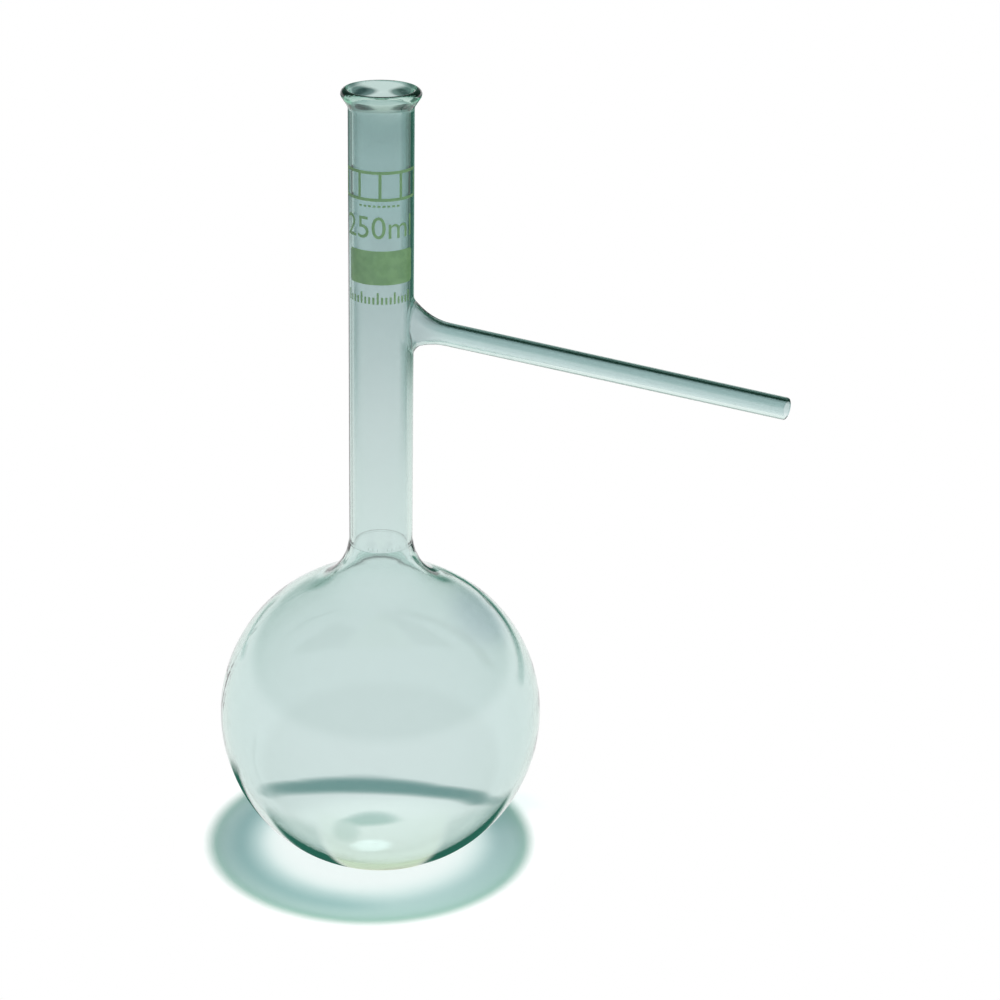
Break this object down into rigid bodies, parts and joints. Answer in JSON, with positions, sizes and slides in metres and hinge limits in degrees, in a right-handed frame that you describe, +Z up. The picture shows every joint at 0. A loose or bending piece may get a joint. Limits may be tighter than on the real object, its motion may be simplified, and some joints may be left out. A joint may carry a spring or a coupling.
{
  "type": "distillation flask",
  "caption": "Round-bottomed glass distillation flask with a long beaded neck and a thin side arm that slopes down, for boiling a liquid and leading its vapour away.",
  "frame": {"origin": "lowest point of the bulb, on the neck's axis", "axes": "+Z up the neck's axis, +X the side on which the side arm leaves and slopes down, +Y across"},
  "size_m": [0.15, 0.085, 0.211],
  "materials": {
    "glass": "clear blown glass with a faint blue-green tint, fire polished"
  },
  "bodies": {
    "root": {"flask": "glass"}
  },
  "joints": []
}
